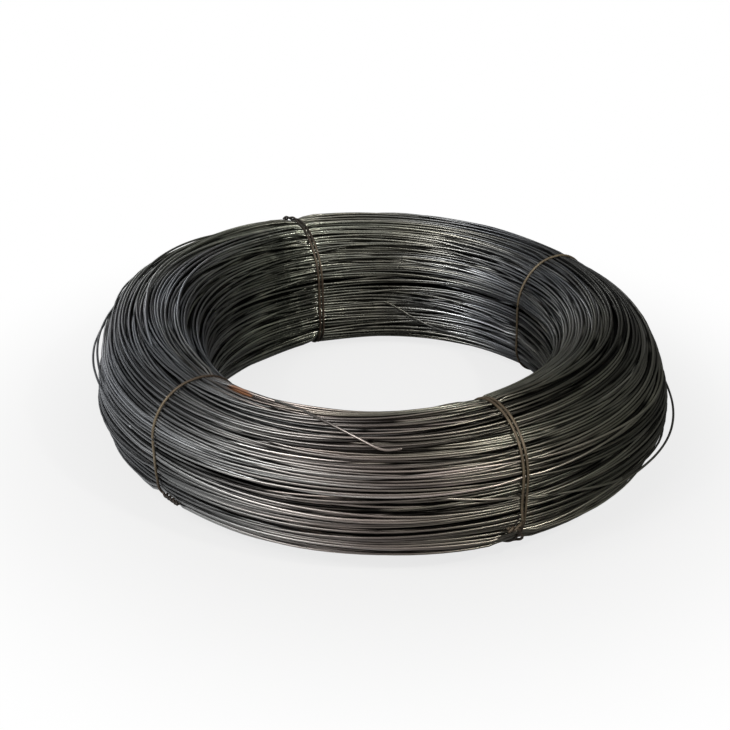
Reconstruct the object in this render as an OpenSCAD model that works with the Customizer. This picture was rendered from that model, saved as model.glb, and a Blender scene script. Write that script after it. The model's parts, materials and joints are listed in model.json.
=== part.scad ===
/* [Coil] */
// Diameter of the open eye
eye_d = 282; // [220:1:360]
// Thickness of the winding, from the eye to the outside
winding_w = 84; // [60:1:120]
// Height of the winding as it lies
coil_h = 108; // [80:1:150]

/* [Section] */
// Rounding of the upper outer shoulder
top_outer_r = 38; // [24:1:50]
// Rounding of the upper inner shoulder
top_inner_r = 41; // [24:1:50]
// Rounding of the lower inner shoulder
base_inner_r = 30; // [24:1:40]
// Rounding of the lower outer shoulder
base_outer_r = 45; // [24:1:56]

/* [Wire] */
// Diameter of the wound wire
wire_d = 1.8; // [1.4:0.1:2.4]
// Spacing of neighbouring turns on the surface of the winding
turn_pitch = 2.4; // [2.0:0.1:4]

/* [Ties] */
// Diameter of the binding wire
tie_d = 2; // [1.6:0.1:2.6]
// Depth that the ties bite into the top and the outside of the winding
tie_bite = 1.4; // [1.0:0.1:2.4]
// Clearance between a tie and the turns under it, and between the strands of its twisted tail
tie_gap = 0.3; // [0.2:0.05:0.5]
// Space between the two wraps of a double tie
strand_gap = 1.2; // [0.3:0.1:2.5]
// Length of the longest twisted tail
tail_l = 18; // [10:1:40]
// Length of one full twist in the tail
twist_l = 8; // [6:0.5:14]
// Direction of the single tie at the front left, in degrees as seen from above
front_left_angle = 223; // [200:1:240]
// Direction of the double tie at the front right
front_right_angle = 296; // [280:1:320]
// Direction of the single tie at the back right
back_right_angle = 35; // [20:1:60]
// Direction of the double tie at the back left
back_left_angle = 114; // [95:1:130]

/* [Hidden] */
$fn = 180;

iron = [0.16, 0.16, 0.17];
rusty = [0.40, 0.30, 0.21];

// Each turn on the surface is a ridge with a flat crest, and a furrow lies between two turns.
crest_w = wire_d * 0.5;
furrow_h = wire_d * 0.36;
shoulder_steps = 24;
quarter = 90;
// Least straight run that is left between two shoulders
least_flat = 2 * turn_pitch;

// The wraps of a double tie lie this far apart, centre to centre.
strand_pitch = tie_d + strand_gap;
// In the eye and under the base a tie is sunk below the crests of the turns.
tie_sink = tie_d + 2 * tie_gap;
// The seat that a tie lies on is set in by this much at the eye, the outside, the base and the top.
seat_inset = [tie_sink, tie_bite, tie_sink, tie_bite];
// The middle of a tie's wire runs this far outside its seat.
tie_rise = tie_d / 2 + tie_gap;

tie_sides = 6;
loop_step = 3 * tie_d;
twist_steps = 8;
bend_r = 1.5 * tie_d;
tail_r = (tie_d + tie_gap) / 2;
// On the shoulders a tie's wire lies this far under the crests of the turns.
shoulder_sink = (tie_bite + tie_sink) / 2 - tie_rise;
// A tie lifts off its seat next to its knot, so that its tail clears those crests.
knot_lift = tail_r + tie_d / 2 + 1.5 * tie_gap + shoulder_sink;
lift_l = 6 * tie_d;

// Each tie: direction, knot as a share of the way round the section from the base, wraps, side of the tail,
// length of the tail as a share of the longest
front_left = [front_left_angle, 0.15, 1, 1, 1];
front_right = [front_right_angle, 0.17, 2, -1, 0.4];
back_right = [back_right_angle, 0.3, 1, 1, 0.8];
back_left = [back_left_angle, 0.44, 2, 1, 0.4];
ties = [front_left, front_right, back_right, back_left];

// Quarter circle walked anticlockwise from an angle.
function shoulder(c, r, from) = [
    for (i = [0:shoulder_steps]) let (a = from + quarter * i / shoulder_steps) c + r * [cos(a), sin(a)]
];

// A shoulder shrinks with its neighbours where a thin or low winding has no room for both.
function room(r, across, up) =
    r * min(1, (winding_w - least_flat) / (r + across), (coil_h - least_flat) / (r + up));

// Closed section as [radius, height] points, set in at the eye, the outside, the base and the top.
function section(inset) =
    let (
        ri = eye_d / 2 + inset[0],
        ro = eye_d / 2 + winding_w - inset[1],
        zl = inset[2],
        zh = coil_h - inset[3],
        r1 = room(base_outer_r, base_inner_r, top_outer_r) - (inset[1] + inset[2]) / 2,
        r2 = room(top_outer_r, top_inner_r, base_outer_r) - (inset[1] + inset[3]) / 2,
        r3 = room(top_inner_r, top_outer_r, base_inner_r) - (inset[0] + inset[3]) / 2,
        r4 = room(base_inner_r, base_outer_r, top_inner_r) - (inset[0] + inset[2]) / 2
    )
    concat(
        shoulder([ro - r1, zl + r1], r1, -quarter),
        shoulder([ro - r2, zh - r2], r2, 0),
        shoulder([ri + r3, zh - r3], r3, quarter),
        shoulder([ri + r4, zl + r4], r4, 2 * quarter)
    );

// Rows of [distance walked, radius, height] along a closed section, back to its first point.
function track(pts) =
    let (n = len(pts))
    [
        for (i = 0, s = 0; i <= n; s = s + norm(pts[(i + 1) % n] - pts[i % n]), i = i + 1)
            [s, pts[i % n][0], pts[i % n][1]]
    ];

// A walk is [length, radius by distance, height by distance].
function walk(pts) =
    let (rows = track(pts))
    [rows[len(pts)][0], [for (t = rows) [t[0], t[1]]], [for (t = rows) [t[0], t[2]]]];

function wrapped(s, length) = s - length * floor(s / length);
function unit(v) = v / norm(v);

// Point at a distance along a walk, the outer side there, and a point set off to that side.
function at(way, s) = let (w = wrapped(s, way[0])) [lookup(w, way[1]), lookup(w, way[2])];
function outward(way, s) =
    let (d = unit(at(way, s + wire_d / 2) - at(way, s - wire_d / 2)))
    [d[1], -d[0]];
function off(way, s, n) = at(way, s) + n * outward(way, s);

winding = walk(section([0, 0, 0, 0]));
turns = round(winding[0] / turn_pitch);
ridge_pitch = winding[0] / turns;
turned_section = [
    for (k = [0:turns - 1]) let (s = (k + 0.5) * ridge_pitch)
        each [
            at(winding, s - crest_w / 2),
            at(winding, s + crest_w / 2),
            off(winding, s + ridge_pitch / 2, -furrow_h)
        ]
];

tie_walk = walk(section([for (i = seat_inset) i - tie_rise]));
tie_loop = tie_walk[0];

// A tie's path is in [distance along its walk, height off the walk, sideways].

// One strand of the twisted tail, from the knot outwards.
function tail(knot, phase, side, reach) =
    let (
        twists = reach / twist_l,
        n = max(2, round(twists * twist_steps))
    )
    [
        for (i = [0:n]) let (a = phase + 360 * twists * i / n)
            [knot + tail_r * cos(a), knot_lift + tail_r * sin(a), side * (bend_r + reach * i / n)]
    ];

// Bend from the tail into the loop, upwards from the knot for a way of 1 and downwards for -1.
function bend(knot, way, side) = [
    for (a = [30, 60])
        [knot + way * (tail_r + bend_r * (1 - cos(a))), knot_lift, side * bend_r * (1 - sin(a))]
];

// The loop: a second wrap lies beside the first, and its end comes back over it to the knot.
function wraps(knot, count, side) =
    let (
        gap = tail_r + bend_r,
        length = count * tie_loop - 2 * gap,
        n = ceil(length / loop_step),
        spread = count < 2 ? 0 : count * strand_pitch
    )
    [
        for (i = [0:n]) let (
            s = length * i / n,
            left = length - s,
            lift = max(1 - ease(s / lift_l), ease((2 * lift_l - left) / lift_l)),
            shift = spread * s / length * (1 - ease((lift_l - left) / lift_l))
        )
        [knot + gap + s, knot_lift * lift, -side * shift]
    ];

function ease(x) = let (c = max(0, min(1, x))) c * c * (3 - 2 * c);
function reversed(list) = [for (i = [len(list) - 1:-1:0]) list[i]];

function tie_path(knot, count, side, reach) =
    concat(
        reversed(tail(knot, 0, side, reach)),
        bend(knot, 1, side),
        wraps(knot, count, side),
        reversed(bend(knot, -1, side)),
        tail(knot, 180, side, reach)
    );

// Point in space of a place on a tie's path, and the outer side there.
function tie_spot(p, dir) =
    let (q = off(tie_walk, p[0], p[1]))
    [q[0] * cos(dir) - p[2] * sin(dir), q[0] * sin(dir) + p[2] * cos(dir), q[1]];
function tie_side(p, dir) =
    let (o = outward(tie_walk, p[0]))
    [o[0] * cos(dir), o[0] * sin(dir), o[1]];

// Ring of points round the wire at one place of its path, square to the way it runs.
function wire_ring(c, run, side) =
    let (
        t = unit(run),
        u = unit(side - (side * t) * t),
        v = cross(t, u)
    )
    [for (k = [0:tie_sides - 1]) let (a = 360 * k / tie_sides) c + tie_d / 2 * (cos(a) * u + sin(a) * v)];

// Binding wire swept along its path.
module tie(t) {
    path = tie_path(t[1] * tie_loop, t[2], t[3], t[4] * tail_l);
    spots = [for (p = path) tie_spot(p, t[0])];
    last = len(path) - 1;
    rings = [
        for (i = [0:last])
            each wire_ring(spots[i], spots[min(i + 1, last)] - spots[max(i - 1, 0)], tie_side(path[i], t[0]))
    ];
    skin = [
        for (i = [0:last - 1], k = [0:tie_sides - 1]) let (
            a = i * tie_sides + k,
            b = i * tie_sides + (k + 1) % tie_sides
        )
        each [[a, a + tie_sides, b], [b, a + tie_sides, b + tie_sides]]
    ];
    caps = [
        [for (k = [0:tie_sides - 1]) k],
        [for (k = [tie_sides - 1:-1:0]) last * tie_sides + k]
    ];
    color(rusty) polyhedron(rings, concat(skin, caps));
}

// Channel that a tie presses into the turns, wide enough for its strands where it is narrowest, in the eye.
module tie_channel(t) {
    strands = t[2] < 2 ? 1 : t[2] + 1;
    span = 2 * asin((strands * strand_pitch + 2 * tie_gap) / eye_d);
    middle = -t[3] * asin((strands - 1) * strand_pitch / eye_d);
    rotate(t[0] + middle - span / 2)
        rotate_extrude(angle = span)
            difference() {
                translate([eye_d / 2 - tie_d, -tie_d])
                    square([winding_w + 2 * tie_d, coil_h + 2 * tie_d]);
                polygon(section(seat_inset));
            }
}

module wire_coil() {
    color(iron)
        difference() {
            rotate_extrude() polygon(turned_section);
            for (t = ties) tie_channel(t);
        }
}

module tie_front_left() { tie(front_left); }
module tie_front_right() { tie(front_right); }
module tie_back_right() { tie(back_right); }
module tie_back_left() { tie(back_left); }

wire_coil();
tie_front_left();
tie_front_right();
tie_back_right();
tie_back_left();
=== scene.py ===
import json
import math

import bmesh
import bpy
import numpy as np
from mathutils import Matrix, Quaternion, Vector


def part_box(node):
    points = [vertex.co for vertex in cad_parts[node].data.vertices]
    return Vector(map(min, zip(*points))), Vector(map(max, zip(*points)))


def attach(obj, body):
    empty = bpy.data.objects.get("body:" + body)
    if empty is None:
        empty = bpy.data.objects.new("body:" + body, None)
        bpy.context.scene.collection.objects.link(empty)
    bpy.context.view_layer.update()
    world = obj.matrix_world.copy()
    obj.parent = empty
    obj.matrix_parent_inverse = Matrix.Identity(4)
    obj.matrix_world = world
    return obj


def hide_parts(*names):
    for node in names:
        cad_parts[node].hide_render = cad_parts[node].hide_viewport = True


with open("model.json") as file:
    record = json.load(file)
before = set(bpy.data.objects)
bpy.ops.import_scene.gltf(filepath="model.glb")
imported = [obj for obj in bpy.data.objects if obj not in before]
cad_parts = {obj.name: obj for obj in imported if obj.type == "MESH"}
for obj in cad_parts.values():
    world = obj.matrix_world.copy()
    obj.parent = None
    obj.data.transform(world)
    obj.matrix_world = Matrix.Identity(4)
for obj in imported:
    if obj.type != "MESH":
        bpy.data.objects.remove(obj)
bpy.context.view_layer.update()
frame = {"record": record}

# sizes that the CAD carries
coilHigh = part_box("wire_coil")[1]
outerR, coilHeight = coilHigh.x, coilHigh.z
mounts = {mount["name"]: mount for mount in frame["record"]["mounts"]}
eyeR = mounts["coil_eye"]["dims"]["r_mm"] / 1000


class Value:
    # a node's output; sums on it add Math nodes
    def __init__(self, finish, socket):
        self.finish, self.socket = finish, socket

    def maths(self, operation, first, second):
        return self.finish.node("ShaderNodeMath", {"operation": operation}, {0: first, 1: second})

    def __add__(self, other):
        return self.maths("ADD", self, other)

    def __radd__(self, other):
        return self.maths("ADD", other, self)

    def __sub__(self, other):
        return self.maths("SUBTRACT", self, other)

    def __rsub__(self, other):
        return self.maths("SUBTRACT", other, self)

    def __mul__(self, other):
        return self.maths("MULTIPLY", self, other)

    def __rmul__(self, other):
        return self.maths("MULTIPLY", other, self)


class Finish:
    # a material or the world, and the one way that nodes get into it
    def __init__(self, owner):
        owner.use_nodes = True
        self.owner, self.tree = owner, owner.node_tree

    def node(self, kind, settings=None, values=None, out=0):
        made = self.tree.nodes.new(kind)
        for key, value in (settings or {}).items():
            if key == "stops":
                ramp = made.color_ramp.elements
                while len(ramp) < len(value):
                    ramp.new(0.5)
                for stop, (place, colour) in zip(ramp, value):
                    stop.position, stop.color = place, colour
            else:
                setattr(made, key, value)
        self.feed(made, values or {})
        return Value(self, made.outputs[out])

    def feed(self, made, values):
        for key, value in values.items():
            if isinstance(value, Value):
                self.tree.links.new(value.socket, made.inputs[key])
            else:
                made.inputs[key].default_value = value

    def principled(self, values):
        shader = self.tree.nodes["Principled BSDF"]
        self.feed(shader, values)
        return Value(self, shader.outputs["BSDF"])

    def objectSpace(self):
        return self.node("ShaderNodeTexCoord", out="Object")

    def attribute(self, name, out="Fac"):
        return self.node("ShaderNodeAttribute", {"attribute_name": name}, out=out)

    def noise(self, space, scale, detail, rough=0.55):
        values = {"Vector": space, "Scale": scale, "Detail": detail, "Roughness": rough}
        return self.node("ShaderNodeTexNoise", {}, values, "Fac")

    def smooth(self, value, low, high):
        settings = {"interpolation_type": "SMOOTHSTEP"}
        values = {"Value": value, "From Min": low, "From Max": high}
        return self.node("ShaderNodeMapRange", settings, values, "Result")

    def ramp(self, stops, value):
        return self.node("ShaderNodeValToRGB", {"stops": stops}, {"Fac": value})

    def blend(self, share, first, second, mode="MIX"):
        settings = {"data_type": "RGBA", "blend_type": mode}
        return self.node("ShaderNodeMix", settings, {0: share, 6: first, 7: second}, 2)

    def vector(self, operation, *inputs):
        values = dict(enumerate(inputs))
        return self.node("ShaderNodeVectorMath", {"operation": operation}, values, "Value")

    def ray(self, kind):
        return self.node("ShaderNodeLightPath", out=kind)


def rgba(*rgb):
    return (*rgb, 1.0)


# rounded section of the winding, walked anticlockwise from the base outwards
section = {
    "shoulders": (0.045, 0.038, 0.041, 0.030),  # lower outer, upper outer, upper inner, lower inner
    "steps": 25,  # points on each shoulder
    "oval": 0.0086,  # the coil is a little out of round
    "ovalAt": math.radians(152.3),
    # slow waves round the coil in mm: a constant, then cosine and sine of one, two and three a turn
    "waves": {
        "eye": (-1.8, 0.26, -0.68, -0.51, 3.16, 0.12, 2.12),
        "outside": (-0.8, -0.38, 0.98, 0.09, -1.69, -0.03, -0.32),
        "top": (-0.2, -0.64, 2.03, 0.23, -1.36, -1.66, -0.15),
        "lean": (0.0, -2.82, -0.32, -2.13, -0.53, 1.50, -0.42),
    },
}


def slowWave(name, turn):
    steady, *parts = section["waves"][name]
    waves = zip((1, 2, 3), parts[::2], parts[1::2])
    swing = sum(c * np.cos(n * turn) + q * np.sin(n * turn) for n, c, q in waves)
    return (steady + swing) / 1000


# radius and height of a place on the winding, with its oval and its slow waves
def outOfRound(turn, r, z):
    share = (r - eyeR) / (outerR - eyeR)
    out = r * (1 + section["oval"] * np.cos(2 * (turn - section["ovalAt"])))
    out = out + (1 - share) * slowWave("eye", turn) + share * slowWave("outside", turn)
    out = out + (z / coilHeight - 0.5) * slowWave("lean", turn)
    return out, z * (1 + slowWave("top", turn) / coilHeight)


class Walk:
    # inset is how far the walk runs inside the CAD section: eye, outside, base, top
    def __init__(self, inset=(0.0, 0.0, 0.0, 0.0)):
        eye, outside, base, top = inset
        inner, outer, low, high = eyeR + eye, outerR - outside, base, coilHeight - top
        r1, r2, r3, r4 = section["shoulders"]
        r1, r2 = r1 - (outside + base) / 2, r2 - (outside + top) / 2
        r3, r4 = r3 - (eye + top) / 2, r4 - (eye + base) / 2
        corners = (
            (outer - r1, low + r1, r1),
            (outer - r2, high - r2, r2),
            (inner + r3, high - r3, r3),
            (inner + r4, low + r4, r4),
        )
        spots, sides = [], []
        for quarter, (cr, cz, r) in enumerate(corners):
            a = np.linspace(quarter - 1, quarter, section["steps"]) * math.pi / 2
            side = np.stack([np.cos(a), np.sin(a)], -1)
            spots.append(np.array([cr, cz]) + r * side)
            sides.append(side)
        spots, sides = np.concatenate(spots), np.concatenate(sides)
        self.spots, self.sides = np.vstack([spots, spots[:1]]), np.vstack([sides, sides[:1]])
        self.gone = np.concatenate([[0], np.cumsum(np.hypot(*np.diff(self.spots, axis=0).T))])
        self.length = self.gone[-1]

    # radius, height and outer side at a distance along the walk
    def at(self, s):
        s = np.mod(s, self.length)
        columns = (self.spots[:, 0], self.spots[:, 1], self.sides[:, 0], self.sides[:, 1])
        return [np.interp(s, self.gone, c) for c in columns]

    # points in space: direction in radians, height off the walk, a straight sideways step
    def points(self, turn, s, rise, aside=0.0):
        r, z, outR, outZ = self.at(s)
        out, up = outOfRound(turn, r + rise * outR, z + rise * outZ)
        c, q = np.cos(turn), np.sin(turn)
        return np.stack([out * c - aside * q, out * q + aside * c, up], -1)


coilWalk = Walk()


def addPiece(name, mesh, node):
    piece = bpy.data.objects.new(name, mesh)
    bpy.context.scene.collection.objects.link(piece)
    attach(piece, "root")
    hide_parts(node)


# a piece of wire is a poly curve with a round bevel, made a mesh; values go along it point by point
def wireMesh(name, run, radius, bevel, material, node, values):
    curve = bpy.data.curves.new(name + "_path", "CURVE")
    curve.dimensions = "3D"
    curve.twist_mode = "Z_UP"
    curve.bevel_depth, curve.bevel_resolution = radius, bevel
    spline = curve.splines.new("POLY")
    spline.points.add(len(run) - 1)
    spots = np.column_stack([run, np.ones(len(run))])
    spline.points.foreach_set("co", spots.astype(np.float32).ravel())
    holder = bpy.data.objects.new(name + "_path", curve)
    bpy.context.scene.collection.objects.link(holder)
    graph = bpy.context.evaluated_depsgraph_get()
    mesh = bpy.data.meshes.new_from_object(holder.evaluated_get(graph))
    bpy.data.objects.remove(holder)
    bpy.data.curves.remove(curve)
    mesh.name = name
    mesh.materials.clear()
    mesh.materials.append(material)
    mesh.shade_smooth()
    around = len(mesh.vertices) // len(run)
    for key, column in values.items():
        kind, field = ("FLOAT", "value") if column.ndim == 1 else ("FLOAT_COLOR", "color")
        layer = mesh.attributes.new(key, kind, "POINT")
        layer.data.foreach_set(field, np.repeat(column, around, axis=0).astype(np.float32).ravel())
    bm = bmesh.new()
    bm.from_mesh(mesh)
    bmesh.ops.holes_fill(bm, edges=[e for e in bm.edges if e.is_boundary])  # the cut ends
    bm.to_mesh(mesh)
    bm.free()
    addPiece(name, mesh, node)


# black annealed iron: dark scale with a satin sheen, each wire a little different in tone
ironLook = {
    "cloudScale": 40.0,
    "speckScale": 260.0,
    "filmScale": 70.0,
    "tones": ((0.0, 0.004), (0.5, 0.235), (1.0, 0.60)),  # grey of the scale by tone
    "metallic": 0.92,
    "roughness": 0.35,
    "film": (0.26, 0.56),  # where the film of oil breaks up
    "filmGloss": 0.21,  # how much smoother it makes the wire
    "coatRoughness": 0.15,
    "rust": (0.11, 0.060, 0.035),
    "rustShare": 0.35,
    # orange rust where the loose end comes out at the eye
    "orange": (0.21, 0.083, 0.029),
    "orangeShare": 0.85,
    "orangeAt": (-0.0998, -0.1345, 0.1000),
    "orangeTurn": (0, 0, math.radians(326)),
    "orangeReach": (0.0125, 0.0042, 0.006),
}


def blackIron():
    finish = Finish(bpy.data.materials.new("black_annealed_iron"))
    look = ironLook
    space = finish.objectSpace()
    cloud = finish.noise(space, look["cloudScale"], 2.0)
    speck = finish.noise(space, look["speckScale"], 2.0, 0.6)
    film = finish.smooth(finish.noise(space, look["filmScale"], 2.0), *look["film"])
    film = film * finish.attribute("oil")
    # the tone carries painted shade under and between the outer wires and on the crest at the back
    tone = finish.attribute("tone") + cloud * 0.12 - 0.06 - film * 0.07
    colour = finish.ramp([(at, rgba(grey, grey, grey)) for at, grey in look["tones"]], tone)
    # colour by direction, with painted light and shade in it
    colour = finish.blend(1.0, colour, finish.attribute("tint", "Color"), "MULTIPLY")
    rust = finish.smooth(speck * 0.45 + cloud * 0.55, 0.62, 0.74) * look["rustShare"]
    colour = finish.blend(rust, colour, rgba(*look["rust"]))
    spot = {
        "Vector": space,
        "Location": look["orangeAt"],
        "Rotation": look["orangeTurn"],
        "Scale": look["orangeReach"],
    }
    patch = finish.node("ShaderNodeMapping", {"vector_type": "TEXTURE"}, spot)
    orange = 1 - finish.smooth(finish.vector("LENGTH", patch) + speck * 0.7, 1.0, 1.4)
    colour = finish.blend(orange * look["orangeShare"], colour, rgba(*look["orange"]))
    rough = look["roughness"] + cloud * 0.06 + rust * 0.3 + orange * 0.3
    finish.principled(
        {
            "Base Color": colour,
            "Metallic": look["metallic"] - orange * 0.75 - rust,
            "Roughness": rough - film * look["filmGloss"],
            "Coat Weight": film,
            "Coat Roughness": look["coatRoughness"],
        }
    )
    return finish.owner


# binding wire gone brown, lighter tan in places along each tie
rustLook = {
    "patchScale": 110.0,
    "grainScale": 700.0,
    "tones": (
        (0.0, rgba(0.012, 0.010, 0.008)),
        (0.25, rgba(0.050, 0.033, 0.022)),
        (0.5, rgba(0.115, 0.088, 0.055)),
        (0.75, rgba(0.22, 0.18, 0.12)),
        (1.0, rgba(0.37, 0.33, 0.25)),
    ),
    "metallic": 0.35,
    "roughness": 0.45,
    "grainStrength": 0.3,
    "grainDepth": 0.0003,
}


def rustyWire():
    finish = Finish(bpy.data.materials.new("rusty_binding_wire"))
    look = rustLook
    space = finish.objectSpace()
    patch = finish.noise(space, look["patchScale"], 3.0)
    grain = finish.noise(space, look["grainScale"], 4.0, 0.7)
    tieTone = finish.attribute("tone") + patch * 0.5 + grain * 0.2 - 0.43
    pits = {"Strength": look["grainStrength"], "Distance": look["grainDepth"], "Height": grain}
    finish.principled(
        {
            "Base Color": finish.ramp(look["tones"], tieTone),
            "Metallic": look["metallic"],
            "Roughness": look["roughness"] + grain * 0.2,
            "Normal": finish.node("ShaderNodeBump", {}, pits),
        }
    )
    return finish.owner


ironFinish, rustFinish = blackIron(), rustyWire()
print("finishes ready")

# one wire laid loosely in passes round the section, then settled until its turns lie on each other
winding = {
    "wire": 0.0018,
    "passes": (132, 132, 130),  # turns in each pass, the last one outermost
    "depths": (-0.0054, -0.0034, -0.0012),  # where each pass starts, off the CAD section
    "slices": 120,  # points in one turn
    # how far the wire strays, and over how many points and turns it does so alike
    "wander": (0.0042, 11, 0.3),  # single wires, sideways
    "drift": (0.0055, 16, 2.5),  # bundles of neighbours, sideways
    "bunch": (0.0022, 50, 1.2),  # neighbours that close up and leave gaps
    "bob": (0.0007, 14, 0.5),  # single wires, up and down
    "spring": (0.0016, 20, 5.0),  # loose bundles, off the winding between the ties
    "springFrom": 0.3,  # how loose a bundle is that starts to stand off
    "springMost": 2.2,
    "springTop": 0.3,  # share of this on the top and the base
    # slack and sunken places: direction, distance along the section in mm,
    # reach in degrees and mm, height in mm
    "slack": (
        (347, 71, 12, 15, 5.0),
        (356, 106, 14, 13, -3.0),
        (198, 68, 10, 12, 3.5),
        (184, 108, 8, 12, -2.8),
        (163, 127, 10, 12, 2.6),
        (131, 141, 14, 10, 1.6),
        (145, 288, 16, 14, 4.2),
        (265, 66, 14, 7, 1.5),
        (225, 48, 2, 8, 1.2),
    ),
    "headroom": 0.010,  # no turn stands further off than this
    "room": 1.12,  # spacing that settled wires come to, in wire diameters
    "rounds": 60,
    "neighbours": 6,  # next wires on one side that push a wire away
    "push": 0.45,  # share of an overlap that goes in one round
    "stiffness": 0.22,  # how far a point goes to the middle of its two neighbours
    "pull": 0.00002,  # inwards in one round
    "floor": -0.0060,  # no wire sinks below this
    "strip": 0.003,  # width of the strips that the top of the winding is measured in
    "level": 70,  # percent of the strips that end inside the CAD section
    "pieces": 4,
    "bevel": 1,
    "seed": 11,
}
# what the scale on the iron looks like along the wire
ironScale = {
    "tone": 0.5,
    # lighter and darker wires, and over how many points and turns they are alike
    "wireTone": (0.13, 60, 0.3),
    "bundleTone": (0.06, 30, 3.0),
    "shadeDepth": (0.0006, 0.0018, 0.93),  # painted shade on wires between and under the outer ones: depth where it starts, depth of the change, share
    # painted shade on the crest at the back, where it tones down the sheen: direction, distance
    # along the section in mm, reach in degrees and mm, share
    "dark": ((72, 163, 22, 19, 0.32),),
    # oil left on the wires round the coil: direction in degrees, share
    "oil": (
        (0, 0.1),
        (48, 0.15),
        (58, 0.62),
        (82, 0.62),
        (92, 0.5),
        (100, 1),
        (126, 1),
        (138, 0.1),
        (240, 0.1),
        (280, 0.5),
        (300, 0.4),
        (320, 0.1),
        (360, 0.1),
    ),
    "oilTone": 0.4,  # darker wires than this carry less
    "oilOutside": 0.25,  # share of it outside the eye
    # how far a surface faces outwards where the rest of it sets in, and over how much
    "oilEdge": (0.2, 0.5),
    # colour of the scale round the coil, with painted light and shade by direction in it: direction
    # in degrees, red, green, blue
    "tintsAndShade": (
        (0, 0.95, 0.95, 0.86),
        (20, 1.00, 1.00, 0.97),
        (45, 0.89, 0.93, 1.00),
        (68, 0.88, 0.89, 0.87),
        (90, 1.16, 1.12, 0.94),
        (135, 1.08, 1.13, 0.91),
        (180, 1.00, 1.00, 1.03),
        (200, 0.99, 1.04, 1.12),
        (240, 1.05, 1.06, 1.04),
        (270, 1.14, 0.97, 0.88),
        (287, 0.99, 0.90, 0.74),
        (315, 0.94, 0.94, 0.75),
        (360, 0.95, 0.95, 0.86),
    ),
    "tintDrift": (9, 30, 3.0),  # degrees, and over how many points and turns alike
}
ties = {
    "wire": 0.002,
    "gap": 0.0003,
    "strandGap": 0.0012,
    "bite": 0.0014,  # into the top and the outside
    "sink": 0.0026,  # into the eye and the base
    "tail": 0.018,
    "twist": 0.008,
    "press": 0.013,  # how far along the turns a tie presses them down
    "gather": 0.0012,  # how far low turns come up against a tie
    "tight": 0.0013,  # how much closer the knots are pulled than in CAD
    "hold": 0.045,  # how far along the turns a tie keeps them from springing off
    "step": 0.003,  # from point to point round the section
    "twistSteps": 12,
    "bend": 1.5,  # radius of the bend at a knot, in wire diameters
    "bendAt": (22, 45, 68),  # degrees
    "lift": 6,  # way over which a tie lifts to its knot, in wire diameters
    "bevel": 2,
    # direction, knot as a share of the way round from the base, wraps,
    # side of the tail, share of its length
    "places": {
        "tie_front_left": (223, 0.15, 1, 1, 1.0),
        "tie_front_right": (296, 0.187, 2, -1, 0.4),
        "tie_back_right": (35, 0.3, 1, 1, 0.8),
        "tie_back_left": (114, 0.44, 2, 1, 0.25),
    },
    # how light each tie is along its way round the section
    "tieTone": {
        "tie_front_left": (
            (0, 0.2), (0.15, 0.12), (0.19, 0.5), (0.26, 0.72),
            (0.40, 0.66), (0.46, 0.45), (0.6, 0.3), (1, 0.2),
        ),
        "tie_front_right": (
            (0, 0.3), (0.16, 0.34), (0.2, 0.52), (0.42, 0.55), (0.5, 0.5), (0.6, 0.4), (1, 0.3),
        ),
        "tie_back_right": (
            (0, 0.3), (0.35, 0.45), (0.5, 0.68), (0.65, 0.6), (0.8, 0.5), (1, 0.3),
        ),
        "tie_back_left": (
            (0, 0.3), (0.4, 0.14), (0.54, 0.18), (0.6, 0.42), (0.75, 0.4), (0.85, 0.3), (1, 0.3),
        ),
    },
}


# smooth random field on the wire, alike over some points along it and over some neighbouring turns
def lieOfWire(rng, turns, slices, along, across):
    n = turns * slices
    step = np.arange(n)
    step = np.minimum(step, n - step)
    hop = np.rint(step / slices)
    near = step - hop * slices
    kernel = np.exp(-0.5 * (near / along) ** 2 - 0.5 * (hop / across) ** 2)
    field = np.fft.irfft(np.fft.rfft(rng.standard_normal(n)) * np.fft.rfft(kernel), n)
    return (field / field.std()).reshape(turns, slices)


# wires that overlap push each other apart, round by round, and stay smooth along their run
def settle(s, rise):
    length, room = coilWalk.length, winding["room"] * winding["wire"]
    for _ in range(winding["rounds"]):
        order = np.argsort(np.mod(s, length), axis=0)
        lies = np.take_along_axis(np.mod(s, length), order, 0)
        high = np.take_along_axis(rise, order, 0)
        pushS, pushR = np.zeros_like(lies), np.zeros_like(high)
        for hop in range(1, winding["neighbours"] + 1):
            gapS = np.roll(lies, -hop, 0) - lies
            gapS[-hop:] += length
            gapR = np.roll(high, -hop, 0) - high
            apart = np.hypot(gapS, gapR) + 1e-7  # never zero
            share = winding["push"] * np.clip(room - apart, 0, None) / apart
            pushS += np.roll(share * gapS, hop, 0) - share * gapS
            pushR += np.roll(share * gapR, hop, 0) - share * gapR
        moveS, moveR = np.empty_like(s), np.empty_like(s)
        np.put_along_axis(moveS, order, pushS, 0)
        np.put_along_axis(moveR, order, pushR, 0)
        s, rise = s + moveS, rise + moveR - winding["pull"]
        for field in (s, rise):
            flat = field.reshape(-1)
            flat[1:-1] += winding["stiffness"] * (flat[:-2] + flat[2:] - 2 * flat[1:-1])
        rise = np.maximum(rise, winding["floor"])
    return s, rise


# highest wire in narrow strips of the section, slice by slice, and the strip that each wire is in
def topOfWire(s, rise):
    length = coilWalk.length
    strips = int(length / winding["strip"])
    top = np.full((strips, s.shape[1]), winding["floor"])
    strip = (np.mod(s, length) / length * strips).astype(int) % strips
    np.maximum.at(top, (strip, np.broadcast_to(np.arange(s.shape[1]), s.shape)), rise)
    return top, strip


def ease(x):
    c = np.clip(x, 0, 1)
    return c * c * (3 - 2 * c)


def angleFrom(turn, degrees):
    return np.angle(np.exp(1j * (turn - math.radians(degrees))))


# nearness to the ties by direction, one at a tie
def nearTie(turn, reach):
    near = np.zeros_like(turn)
    for place in ties["places"].values():
        away = angleFrom(turn, place[0]) * (eyeR + outerR) / 2
        near = np.maximum(near, np.exp(-0.5 * (away / reach) ** 2))
    return near


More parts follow.
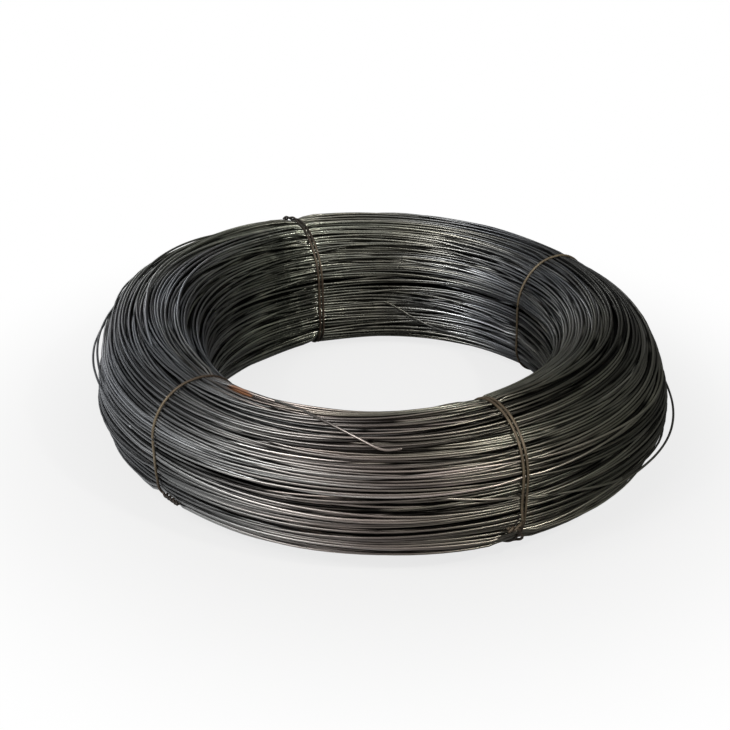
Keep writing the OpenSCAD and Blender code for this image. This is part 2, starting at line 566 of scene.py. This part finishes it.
# nearness to a place on the winding, one at the place
def nearSpot(turn, s, angle, place, along, across):
    length = coilWalk.length * 1000
    away = np.degrees(angleFrom(turn, angle)) / along
    beside = ((s * 1000 - place + length / 2) % length - length / 2) / across
    return np.exp(-0.5 * away**2 - 0.5 * beside**2)


# the ties press the turns down, and no turn stays above a tie's seat
def pressed(turn, s, rise):
    _, _, outR, outZ = coilWalk.at(s)
    deep = np.clip(-outR, 0, 1) ** 2 + np.clip(-outZ, 0, 1) ** 2
    near = nearTie(turn, ties["press"])
    dip = near * (ties["bite"] + (ties["sink"] - ties["bite"]) * deep - ties["gap"])
    most = winding["headroom"] * (1 - near) - winding["wire"] / 2
    return np.minimum(rise + ties["gather"] * near, most) - dip


# colour of the scale by direction round the coil, with painted light and shade in it
def scaleTintAndShade(degrees):
    table = np.array(ironScale["tintsAndShade"])
    rgb = [np.interp(degrees % 360, table[:, 0], table[:, k]) for k in (1, 2, 3)]
    return np.stack(rgb + [np.ones_like(degrees)], -1)


# tone, oil and colour of each point; painted shade darkens wires between and under the outer ones
def shadeWire(stray, turn, s, rise):
    top, strip = topOfWire(s, rise)
    shadeDepth = np.take_along_axis(top, strip, 0) - rise
    start, over, share = ironScale["shadeDepth"]
    tone = ironScale["tone"] + stray(*ironScale["wireTone"]) + stray(*ironScale["bundleTone"])
    tone = np.clip(tone, 0, 1)
    # painted shade on wires that lie under the top wire of their strip
    tone = tone * (1 - share * ease((shadeDepth - start) / over))
    # painted shade on the crest at the back
    for *spot, dark in ironScale["dark"]:
        tone = tone * (1 - dark * nearSpot(turn, s, *spot))
    # colour by direction, with painted light and shade
    tint = scaleTintAndShade(np.degrees(turn) + stray(*ironScale["tintDrift"]))
    edge, over = ironScale["oilEdge"]
    inEye = ease((edge - coilWalk.at(s)[2]) / over)
    oil = np.interp(np.degrees(turn), *np.array(ironScale["oil"]).T)
    oil = oil * ease(tone / ironScale["oilTone"])
    oil = oil * (ironScale["oilOutside"] + (1 - ironScale["oilOutside"]) * inEye)
    return {
        "tone": tone.reshape(-1),
        "oil": np.clip(oil, 0, 1).reshape(-1),
        "tint": tint.reshape(-1, 4),
    }


def layWire():
    rng = np.random.default_rng(winding["seed"])
    passes, slices = winding["passes"], winding["slices"]
    turns = sum(passes)

    def stray(far, along, across):
        return far * lieOfWire(rng, turns, slices, along, across)

    turn = np.broadcast_to(np.arange(slices) * 2 * math.pi / slices, (turns, slices))
    gone = np.arange(turns * slices) / slices
    ends = np.concatenate([[0], np.cumsum(passes)])
    which = np.searchsorted(ends[1:-1], gone, side="right").reshape(turns, slices)
    s = np.interp(gone, ends, np.arange(len(ends)) * coilWalk.length).reshape(turns, slices)
    for name in ("wander", "drift", "bunch"):
        s = s + stray(*winding[name])
    rise = np.array(winding["depths"])[which] + stray(*winding["bob"])
    s, rise = settle(s, rise)
    top, _ = topOfWire(s, rise)
    print("top of the winding in mm, 10/50/90:", np.percentile(top, [10, 50, 90]) * 1000)
    rise = rise - np.percentile(top, winding["level"]) - winding["wire"] / 2
    # loose bundles of the last pass, on the outside more than on the top
    far, *alike = winding["spring"]
    loose = np.clip(stray(1, *alike) - winding["springFrom"], 0, winding["springMost"])
    loose = loose * np.clip(winding["springTop"] + coilWalk.at(s)[2], 0, 1)
    loose = loose * (1 - nearTie(turn, ties["hold"]))
    rise = rise + far * loose * (which == len(passes) - 1)
    for *spot, lift in winding["slack"]:
        rise = rise + lift / 1000 * nearSpot(turn, s, *spot)
    values = shadeWire(stray, turn, s, rise)
    points = coilWalk.points(turn, s, pressed(turn, s, rise)).reshape(-1, 3)
    points[:, 2] = np.maximum(points[:, 2], winding["wire"] / 2)
    return points, values


wirePoints, wireValues = layWire()
cuts = np.linspace(0, len(wirePoints), winding["pieces"] + 1).astype(int)
for number, (first, last) in enumerate(zip(cuts[:-1], cuts[1:]), 1):
    part = slice(first, min(last + 1, len(wirePoints)))
    wireMesh(
        f"winding_{number}",
        wirePoints[part],
        winding["wire"] / 2,
        winding["bevel"],
        ironFinish,
        "wire_coil",
        {key: column[part] for key, column in wireValues.items()},
    )
print("winding made:", len(wirePoints), "points")

# turned core under the last pass, so that no light comes through the winding
core = {"inset": 0.0072, "steps": 160}


def woundCore():
    walk = Walk([core["inset"]] * 4)
    bm = bmesh.new()
    ring = [bm.verts.new((r, 0, z)) for r, z in walk.spots[:-1:2]]  # every other point
    edges = [bm.edges.new((a, b)) for a, b in zip(ring, ring[1:] + ring[:1])]
    bmesh.ops.spin(
        bm,
        geom=ring + edges,
        cent=(0, 0, 0),
        axis=(0, 0, 1),
        angle=2 * math.pi,
        steps=core["steps"],
        use_merge=True,
    )
    bmesh.ops.remove_doubles(bm, verts=bm.verts, dist=1e-6)
    bmesh.ops.recalc_face_normals(bm, faces=bm.faces)
    for v in bm.verts:
        turn = math.atan2(v.co.y, v.co.x)
        out, up = outOfRound(turn, math.hypot(v.co.x, v.co.y), v.co.z)
        v.co = out * math.cos(turn), out * math.sin(turn), up
    mesh = bpy.data.meshes.new("inner_turns")
    bm.to_mesh(mesh)
    bm.free()
    mesh.materials.append(ironFinish)
    mesh.shade_smooth()
    addPiece("inner_turns", mesh, "wire_coil")


woundCore()
print("core made")

# single wires that have left the winding
strays = {
    "steps": 8,  # points from each row to the next
    "oil": 0.1,
    "bevel": 2,
    # tone, then rows of direction in degrees, distance along the section and height off it in mm
    "wires": {
        "sprung_right": (
            0.42,
            [
                (316, 54, -2.6), (322, 56, -0.2), (328, 59, 3), (334, 62, 6.5), (340, 64, 8.8),
                (346, 66, 9.6), (352, 68, 9.0), (358, 71, 7.0), (4, 75, 4.5), (10, 79, 2),
                (16, 83, -0.2), (22, 86, -2.6),
            ],
        ),
        "sprung_left": (
            0.55,
            [
                (158, 107, -2.6), (165, 105, -0.8), (172, 103, 0.8), (179, 101.5, 2.6),
                (185, 100.5, 4), (191, 98.5, 4.2), (196, 96, 3), (201, 93.5, 1.4), (207, 91, 0.2),
                (214, 89, -2.6),
            ],
        ),
        "sprung_left_low": (
            0.5,
            [
                (164, 113, -2.6), (171, 112, -0.6), (178, 110.5, 0.8), (185, 108, 1.8),
                (192, 105, 1.8), (199, 101, 0.6), (206, 98, -2.6),
            ],
        ),
        "sprung_back_left": (
            0.4,
            [
                (177, 132, -2.6), (170, 134, -0.2), (163, 136, 1.8), (156, 137, 3.2),
                (149, 138, 3.6), (142, 138, 2.8), (135, 138, 0.8), (127, 138, -2.6),
            ],
        ),
        "crossing_left": (
            0.85,
            [
                (206, 152.5, -2.4), (200, 154, 0.4), (192, 155, 1.6), (182, 155, 2), (174, 153, 2),
                (166, 151.5, 2), (158, 149.5, 1.6), (150, 148.5, 0.8), (141, 149, -2.4),
            ],
        ),
        "crossing_right": (
            0.68,
            [
                (276, 94, -5), (283, 91, -2.2), (290, 87, -0.8), (296, 82.5, -2.1), (302, 79, -0.3),
                (309, 74.5, 0.9), (315, 69, 0.8), (321, 63, 0), (328, 57, -3),
            ],
        ),
        "loose_end": (
            0.5,
            [
                (211, 172, -2.8), (217, 171.5, -2.6), (223, 172, -2.4), (226.5, 173, -0.6),
                (230, 174.5, 0.7), (233.2, 177, 1.0), (236, 179.5, 1.0), (239.5, 180, 1.0),
                (244.5, 177.5, 1.0), (251.8, 168.5, 1.0), (257.8, 156.5, 1.0), (261.5, 148.6, 1.0),
                (265, 141.3, 1.0), (268.2, 134.6, 1.1), (269.8, 131.5, 1.2), (271.2, 130, 1.3),
                (272.8, 130, 1.4), (274.2, 130.5, 1.5),
            ],
        ),
        "loose_end_in_eye": (
            0.3,
            [
                (88.6, 243.6, 2.2), (86.6, 246.3, 1.7), (83.2, 250.8, 1.2), (78.6, 257.4, 1.0),
                (74.4, 262.5, 0.8), (70.1, 267.0, 0.2), (64, 271, -1.0), (57, 273, -2.6),
            ],
        ),
    },
}


# smooth path through rows of values, with some steps from each to the next
def smoothRows(rows, steps):
    p = np.vstack([2 * rows[0] - rows[1], rows, 2 * rows[-1] - rows[-2]])
    t = np.linspace(0, 1, steps, endpoint=False)[:, None]
    runs = []
    for a, b, c, d in zip(p, p[1:], p[2:], p[3:]):
        straight = 2 * b + (c - a) * t
        bent = straight + (2 * a - 5 * b + 4 * c - d) * t**2 + (3 * b - a - 3 * c + d) * t**3
        runs.append(0.5 * bent)
    return np.concatenate(runs + [rows[-1:]])


def strayWire(name):
    tone, rows = strays["wires"][name]
    rows = np.array(rows, float)
    rows[:, 0] = np.unwrap(rows[:, 0], period=360)
    angle, s, rise = smoothRows(rows, strays["steps"]).T
    run = coilWalk.points(np.radians(angle), s / 1000, rise / 1000)
    values = {
        "tone": np.full(len(run), tone),
        "oil": np.full(len(run), strays["oil"]),
        # colour by direction, with painted light and shade
        "tint": scaleTintAndShade(angle),
    }
    radius = winding["wire"] / 2
    wireMesh(name, run, radius, strays["bevel"], ironFinish, "wire_coil", values)


for name in strays["wires"]:
    strayWire(name)
print("stray wires made")

# the binding wires follow the CAD ties: distance along the walk, height off it, sideways
tieRise = ties["wire"] / 2 + ties["gap"]
tieWalk = Walk([depth - tieRise for depth in (ties["sink"], ties["bite"]) * 2])
strandPitch = ties["wire"] + ties["strandGap"]
tailR = (ties["wire"] + ties["gap"]) / 2
bendR, liftRun = ties["bend"] * ties["wire"], ties["lift"] * ties["wire"]
shoulderSink = (ties["bite"] + ties["sink"]) / 2 - tieRise
knotLift = tailR + ties["wire"] / 2 + 1.5 * ties["gap"] + shoulderSink - ties["tight"]


def tailRoute(knot, phase, side, reach):
    twists = reach / ties["twist"]
    share = np.linspace(0, 1, int(twists * ties["twistSteps"]) + 1)
    a = phase + 2 * math.pi * twists * share
    aside = side * (bendR + reach * share)
    return np.stack([knot + tailR * np.cos(a), knotLift + tailR * np.sin(a), aside], -1)


def bendRoute(knot, way, side):
    a = np.radians(ties["bendAt"])
    along = knot + way * (tailR + bendR * (1 - np.cos(a)))
    return np.stack([along, np.full(len(a), knotLift), side * bendR * (1 - np.sin(a))], -1)


# a second wrap lies beside the first, and its end comes back over it to the knot
def wrapRoute(knot, count, side):
    gap = tailR + bendR
    length = count * tieWalk.length - 2 * gap
    s = np.linspace(0, length, int(length / ties["step"]))
    left = length - s
    lift = np.maximum(1 - ease(s / liftRun), ease((2 * liftRun - left) / liftRun))
    spread = 0 if count < 2 else count * strandPitch
    shift = spread * s / length * (1 - ease((liftRun - left) / liftRun))
    return np.stack([knot + gap + s, knotLift * lift, -side * shift], -1)


def tieWire(name):
    angle, share, count, side, tail = ties["places"][name]
    knot, reach = share * tieWalk.length, tail * ties["tail"]
    route = np.concatenate(
        [
            tailRoute(knot, 0, side, reach)[::-1],
            bendRoute(knot, 1, side),
            wrapRoute(knot, count, side),
            bendRoute(knot, -1, side)[::-1],
            tailRoute(knot, math.pi, side, reach),
        ]
    )
    turn = np.full(len(route), math.radians(angle))
    run = tieWalk.points(turn, *route.T)
    way = route[:, 0] / tieWalk.length % 1
    values = {"tone": np.interp(way, *np.array(ties["tieTone"][name]).T)}
    radius = ties["wire"] / 2
    wireMesh(name + "_wire", run, radius, ties["bevel"], rustFinish, name, values)


for name in ties["places"]:
    tieWire(name)
print("ties made")

# direction and height in degrees, distance, width and depth in metres, watts, colour
lamps = {
    "key": (220, 45, 2.2, 1.3, 1.2, 36, (1.0, 0.99, 0.98)),
    "keySpark": (222, 45, 2.1, 0.16, 0.11, 5.5, (1.0, 0.99, 0.97)),
    "spark": (318, 46, 2.1, 0.14, 0.14, 18, (1.0, 0.98, 0.94)),
    "fill": (300, 48, 2.4, 1.6, 1.2, 7, (1.0, 0.98, 0.95)),
    "top": (90, 78, 2.4, 1.2, 1.2, 6.5, (0.95, 0.98, 1.0)),
    "rim": (118, 19, 2.4, 1.0, 0.6, 4.5, (0.98, 0.99, 1.0)),
}
page = {
    "size": 6.0,
    "grey": 0.38,
    "roughness": 0.9,
    "specular": 0.1,
    "white": 0.78,  # how white the camera sees it close to the coil, where the shadow shows
    "fade": (0.20, 0.44),  # distances from the middle over which the shadow fades out
    "mirrored": (0.05, 0.87),  # what the wires see of it on the far side and on the lit side
    "lit": (-0.05, 0.35),  # distances towards the key over which it gets lit
    "sky": 0.04,  # the world as a lamp and in the wires
}


# pale floor, white to the camera but for the coil's shadow; the wires mirror it on the lit side
def pageFloor():
    finish = Finish(bpy.data.materials.new("pale_floor"))
    plain = finish.principled(
        {
            "Base Color": rgba(page["grey"], page["grey"], page["grey"]),
            "Roughness": page["roughness"],
            "Specular IOR Level": page["specular"],
        }
    )
    space = finish.objectSpace()
    far = finish.vector("LENGTH", space)
    a = math.radians(lamps["key"][0])
    towardsKey = finish.vector("DOT_PRODUCT", space, (math.cos(a), math.sin(a), 0))
    seen = finish.ray("Is Camera Ray")
    mirrored = finish.ray("Is Glossy Ray") + finish.ray("Is Transmission Ray")
    white = finish.smooth(far, *page["fade"]) * (1 - page["white"]) + page["white"]
    share = seen * white + mirrored
    dim, bright = page["mirrored"]
    grey = finish.smooth(towardsKey, *page["lit"]) * (bright - dim) + dim
    glow = finish.node("ShaderNodeEmission", {}, {"Color": seen + mirrored * grey, "Strength": 1.0})
    surface = finish.node("ShaderNodeMixShader", {}, {0: share, 1: plain, 2: glow})
    finish.feed(finish.tree.nodes["Material Output"], {"Surface": surface})
    bm = bmesh.new()
    bmesh.ops.create_grid(bm, x_segments=1, y_segments=1, size=page["size"])
    mesh = bpy.data.meshes.new("floor")
    bm.to_mesh(mesh)
    bm.free()
    mesh.materials.append(finish.owner)
    floor = bpy.data.objects.new("floor", mesh)
    bpy.context.scene.collection.objects.link(floor)


# white to the camera, dim as a lamp and in the wires
def skyLight():
    finish = Finish(bpy.data.worlds.new("studio"))
    strength = finish.ray("Is Camera Ray") * (1 - page["sky"]) + page["sky"]
    finish.feed(finish.tree.nodes["Background"], {"Color": rgba(1, 1, 1), "Strength": strength})
    bpy.context.scene.world = finish.owner


def lamp(name):
    angle, height, distance, wide, deep, watts, colour = lamps[name]
    light = bpy.data.lights.new(name, "AREA")
    light.shape, light.size, light.size_y = "RECTANGLE", wide, deep
    light.energy, light.color = watts, colour
    holder = bpy.data.objects.new(name, light)
    a, e = math.radians(angle), math.radians(height)
    place = Vector((math.cos(a) * math.cos(e), math.sin(a) * math.cos(e), math.sin(e))) * distance
    holder.location = place
    holder.rotation_mode = "QUATERNION"
    holder.rotation_quaternion = (-place).to_track_quat("-Z", "Y")
    bpy.context.scene.collection.objects.link(holder)


# the photograph's view
shot = {
    "height": 27.40,  # degrees above the floor
    "distance": 1.125,
    "aim": (0.0, 0.0, 0.0539),
    "focus": 1379.7,  # in pixels of a 730 pixel frame
    "centre": (380.12, 364.44),  # where the middle of the coil falls
    "roll": 0.837,
    "frame": 730,
    "sensor": 36.0,
}


def photoCamera():
    camera = bpy.data.cameras.new("photo_camera")
    camera.sensor_width = shot["sensor"]
    camera.lens = shot["sensor"] * shot["focus"] / shot["frame"]
    camera.clip_start, camera.clip_end = 0.05, 50.0
    holder = bpy.data.objects.new("photo_camera", camera)
    e = math.radians(shot["height"])
    back = Vector((0, -math.cos(e), math.sin(e)))
    holder.location = Vector(shot["aim"]) + back * shot["distance"]
    half = shot["frame"] / 2
    right, down = [math.atan((place - half) / shot["focus"]) for place in shot["centre"]]
    roll = Quaternion((0, 0, 1), math.radians(shot["roll"]))
    pan = Quaternion((0, 1, 0), right) @ Quaternion((1, 0, 0), down)
    holder.rotation_mode = "QUATERNION"
    holder.rotation_quaternion = (-back).to_track_quat("-Z", "Y") @ pan @ roll
    bpy.context.scene.collection.objects.link(holder)
    bpy.context.scene.camera = holder


pageFloor()
skyLight()
for name in lamps:
    lamp(name)
photoCamera()
bpy.context.scene.view_settings.view_transform = "Standard"
print("studio ready")
